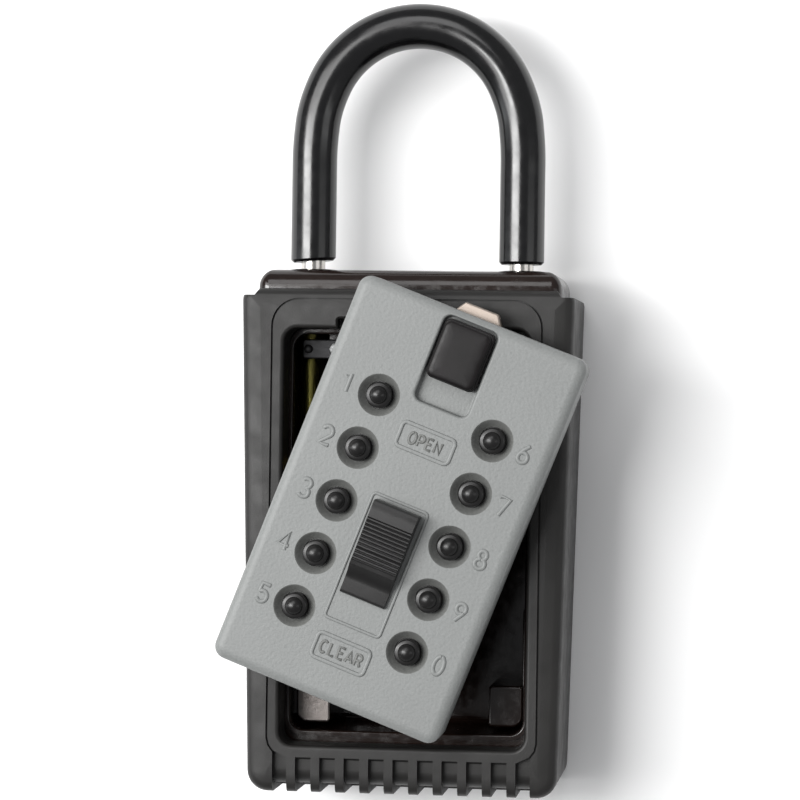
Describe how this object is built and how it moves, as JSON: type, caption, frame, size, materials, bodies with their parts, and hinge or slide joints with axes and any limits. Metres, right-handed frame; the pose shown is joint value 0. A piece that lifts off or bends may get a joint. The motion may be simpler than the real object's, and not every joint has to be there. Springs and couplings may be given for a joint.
{
  "type": "key lock box",
  "caption": "Portable key lock box: rubber-jacketed case with a sleeved shackle, open, its push-button cover lying turned on top.",
  "frame": {"origin": "centre of the jacket's flat back face", "axes": "+Y from the ribbed foot towards the shackle, +Z out of the front, X across the box"},
  "size_m": [0.0938, 0.2068, 0.0656],
  "materials": {
    "jacket_rubber": "matt moulded rubber",
    "black_casting": "gloss black coated die casting",
    "zinc_plated_steel": "zinc plated pressed steel",
    "bright_steel": "bright plated steel",
    "vinyl_sleeve": "gloss black vinyl",
    "grey_powder_coat": "light grey powder coat, fine texture",
    "black_plastic": "black moulded plastic",
    "nickel_plate": "warm nickel plated die casting",
    "brass": "turned brass"
  },
  "bodies": {
    "case": {"rubber_jacket": "jacket_rubber", "case_shell": "black_casting", "strike_bar": "zinc_plated_steel", "strike_screw_left": "zinc_plated_steel", "strike_screw_right": "zinc_plated_steel", "release_spring": "bright_steel"},
    "shackle_set": {"shackle": "bright_steel", "shackle_sleeve": "vinyl_sleeve", "leg_collar": "brass"},
    "release": {"release_bolt": "zinc_plated_steel"},
    "cover": {"cover_shell": "grey_powder_coat", "back_plate": "zinc_plated_steel", "back_plate_screw_1": "zinc_plated_steel", "back_plate_screw_2": "zinc_plated_steel", "back_plate_screw_3": "zinc_plated_steel", "back_plate_screw_4": "zinc_plated_steel", "latch_spring": "bright_steel", "clear_spring": "bright_steel", "button_spring_1": "bright_steel", "button_spring_2": "bright_steel", "button_spring_3": "bright_steel", "button_spring_4": "bright_steel", "button_spring_5": "bright_steel", "button_spring_6": "bright_steel", "button_spring_7": "bright_steel", "button_spring_8": "bright_steel", "button_spring_9": "bright_steel", "button_spring_0": "bright_steel"},
    "latch": {"thumb_latch": "black_plastic", "lock_plate": "zinc_plated_steel", "latch_bolt": "nickel_plate"},
    "clear": {"clear_slider": "black_plastic", "reset_plate": "zinc_plated_steel"},
    "key_1": {"button_1": "black_plastic", "code_pin_1": "brass"},
    "key_2": {"button_2": "black_plastic", "code_pin_2": "brass"},
    "key_3": {"button_3": "black_plastic", "code_pin_3": "brass"},
    "key_4": {"button_4": "black_plastic", "code_pin_4": "brass"},
    "key_5": {"button_5": "black_plastic", "code_pin_5": "brass"},
    "key_6": {"button_6": "black_plastic", "code_pin_6": "brass"},
    "key_7": {"button_7": "black_plastic", "code_pin_7": "brass"},
    "key_8": {"button_8": "black_plastic", "code_pin_8": "brass"},
    "key_9": {"button_9": "black_plastic", "code_pin_9": "brass"},
    "key_0": {"button_0": "black_plastic", "code_pin_0": "brass"}
  },
  "joints": [
    {"name": "cover_lift", "type": "slide", "parent": "case", "child": "cover", "axis": [0, 0, 1], "range_m": [0, 0.06]},
    {"name": "shackle_slide", "type": "slide", "parent": "case", "child": "shackle_set", "axis": [0, 1, 0], "range_m": [0, 0.024]},
    {"name": "shackle_release", "type": "slide", "parent": "case", "child": "release", "axis": [1, 0, 0], "range_m": [0, 0.003], "deforming": ["release_spring"]},
    {"name": "open_slide", "type": "slide", "parent": "cover", "child": "latch", "axis": [-0.3616, -0.9323, 0], "range_m": [0, 0.006], "stiffness_N_per_m": 300, "springref_m": -0.003, "deforming": ["latch_spring"]},
    {"name": "clear_slide", "type": "slide", "parent": "cover", "child": "clear", "axis": [-0.3616, -0.9323, 0], "range_m": [0, 0.006], "stiffness_N_per_m": 200, "springref_m": -0.003, "deforming": ["clear_spring"]},
    {"name": "button_1_press", "type": "slide", "parent": "cover", "child": "key_1", "axis": [0, 0, -1], "range_m": [0, 0.002], "stiffness_N_per_m": 150, "springref_m": -0.002, "deforming": ["button_spring_1"]},
    {"name": "button_2_press", "type": "slide", "parent": "cover", "child": "key_2", "axis": [0, 0, -1], "range_m": [0, 0.002], "stiffness_N_per_m": 150, "springref_m": -0.002, "deforming": ["button_spring_2"]},
    {"name": "button_3_press", "type": "slide", "parent": "cover", "child": "key_3", "axis": [0, 0, -1], "range_m": [0, 0.002], "stiffness_N_per_m": 150, "springref_m": -0.002, "deforming": ["button_spring_3"]},
    {"name": "button_4_press", "type": "slide", "parent": "cover", "child": "key_4", "axis": [0, 0, -1], "range_m": [0, 0.002], "stiffness_N_per_m": 150, "springref_m": -0.002, "deforming": ["button_spring_4"]},
    {"name": "button_5_press", "type": "slide", "parent": "cover", "child": "key_5", "axis": [0, 0, -1], "range_m": [0, 0.002], "stiffness_N_per_m": 150, "springref_m": -0.002, "deforming": ["button_spring_5"]},
    {"name": "button_6_press", "type": "slide", "parent": "cover", "child": "key_6", "axis": [0, 0, -1], "range_m": [0, 0.002], "stiffness_N_per_m": 150, "springref_m": -0.002, "deforming": ["button_spring_6"]},
    {"name": "button_7_press", "type": "slide", "parent": "cover", "child": "key_7", "axis": [0, 0, -1], "range_m": [0, 0.002], "stiffness_N_per_m": 150, "springref_m": -0.002, "deforming": ["button_spring_7"]},
    {"name": "button_8_press", "type": "slide", "parent": "cover", "child": "key_8", "axis": [0, 0, -1], "range_m": [0, 0.002], "stiffness_N_per_m": 150, "springref_m": -0.002, "deforming": ["button_spring_8"]},
    {"name": "button_9_press", "type": "slide", "parent": "cover", "child": "key_9", "axis": [0, 0, -1], "range_m": [0, 0.002], "stiffness_N_per_m": 150, "springref_m": -0.002, "deforming": ["button_spring_9"]},
    {"name": "button_0_press", "type": "slide", "parent": "cover", "child": "key_0", "axis": [0, 0, -1], "range_m": [0, 0.002], "stiffness_N_per_m": 150, "springref_m": -0.002, "deforming": ["button_spring_0"]}
  ]
}
